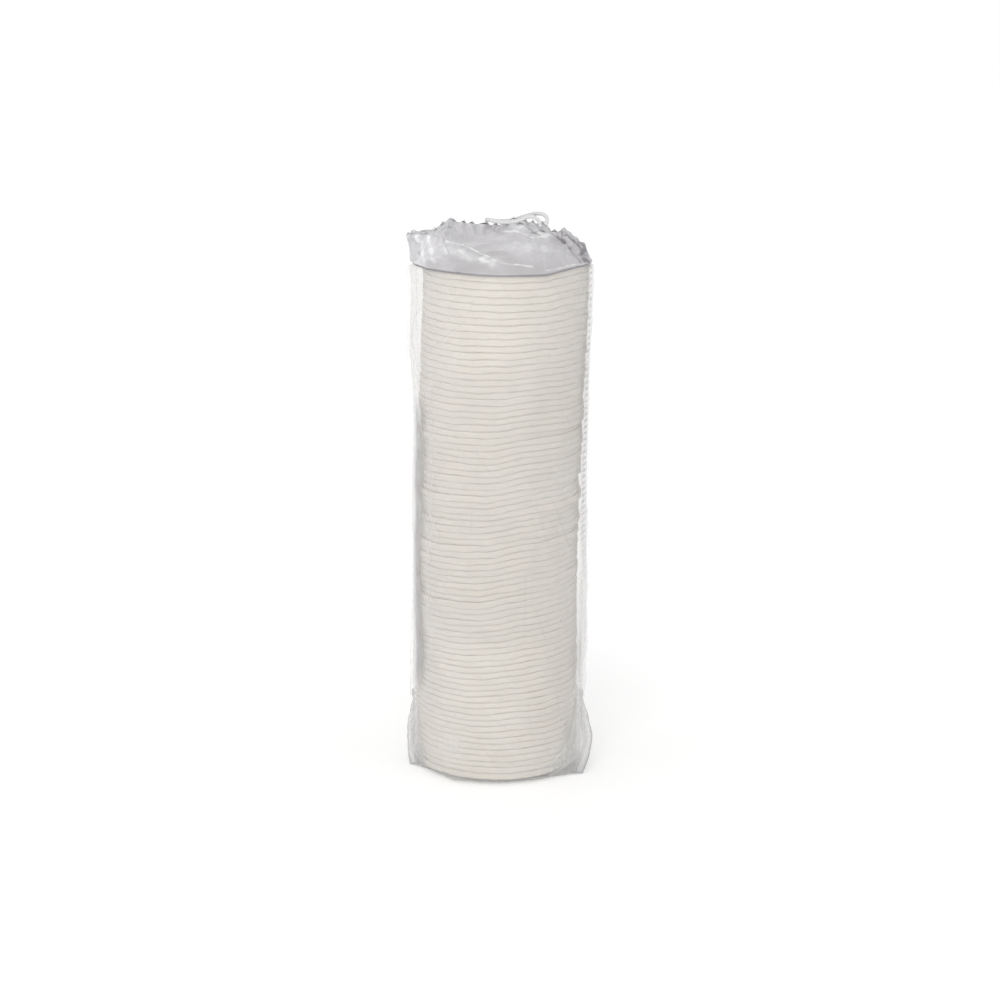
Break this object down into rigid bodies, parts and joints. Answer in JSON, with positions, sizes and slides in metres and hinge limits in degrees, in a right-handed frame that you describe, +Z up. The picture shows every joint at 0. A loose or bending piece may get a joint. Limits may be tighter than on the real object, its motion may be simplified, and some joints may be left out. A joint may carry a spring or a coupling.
{
  "type": "cotton pad holder",
  "caption": "Standing stack of round cotton pads in a clear film sleeve with welded side seams, folded foot corners and a drawstring neck that pulls up.",
  "frame": {"origin": "middle of the foot, on the surface that it stands on", "axes": "+Z up along the stack, -Y towards the viewer of the picture, +X to the right in it"},
  "size_m": [0.065, 0.0594, 0.1947],
  "materials": {
    "sleeve_film": "clear blown polyethylene film, drawn round the pads",
    "seam_film": "clear film welded or folded double",
    "neck_film": "clear film crumpled into several layers",
    "cotton": "pressed cotton wool with a soft, slightly fibrous rim",
    "drawstring": "twisted white cotton"
  },
  "bodies": {
    "sleeve": {"film_front_panel": "sleeve_film", "film_back_panel": "sleeve_film", "side_seam_left": "seam_film", "side_seam_right": "seam_film", "film_base": "sleeve_film", "foot_ear_left": "seam_film", "foot_ear_right": "seam_film", "neck_film": "neck_film", "pad_pair_01": "cotton", "pad_pair_02": "cotton", "pad_pair_03": "cotton", "pad_pair_04": "cotton", "pad_pair_05": "cotton", "pad_pair_06": "cotton", "pad_pair_07": "cotton", "pad_pair_08": "cotton", "pad_pair_09": "cotton", "pad_pair_10": "cotton", "pad_pair_11": "cotton", "pad_pair_12": "cotton", "pad_pair_13": "cotton", "pad_pair_14": "cotton", "pad_pair_15": "cotton", "pad_pair_16": "cotton", "pad_pair_17": "cotton", "pad_pair_18": "cotton", "pad_pair_19": "cotton", "pad_pair_20": "cotton", "pad_pair_21": "cotton", "pad_pair_22": "cotton", "pad_pair_23": "cotton", "pad_pair_24": "cotton", "pad_pair_25": "cotton", "pad_pair_26": "cotton", "pad_pair_27": "cotton", "pad_pair_28": "cotton", "pad_pair_29": "cotton", "pad_pair_30": "cotton", "pad_pair_31": "cotton", "pad_pair_32": "cotton", "pad_pair_33": "cotton", "pad_pair_34": "cotton", "pad_pair_35": "cotton", "pad_pair_36": "cotton", "pad_pair_37": "cotton", "pad_pair_38": "cotton", "pad_pair_39": "cotton", "pad_pair_40": "cotton"},
    "mouth": {"mouth_hem": "neck_film", "drawstring_run": "drawstring"},
    "pull_loop": {"drawstring_loop": "drawstring"}
  },
  "joints": [
    {"name": "neck_pull", "type": "slide", "parent": "sleeve", "child": "mouth", "axis": [0, 0, 1], "range_m": [0, 0.02], "deforming": ["neck_film"]},
    {"name": "drawstring_pull", "type": "slide", "parent": "mouth", "child": "pull_loop", "axis": [0, 0, 1], "range_m": [0, 0.03], "deforming": ["drawstring_loop"]}
  ]
}
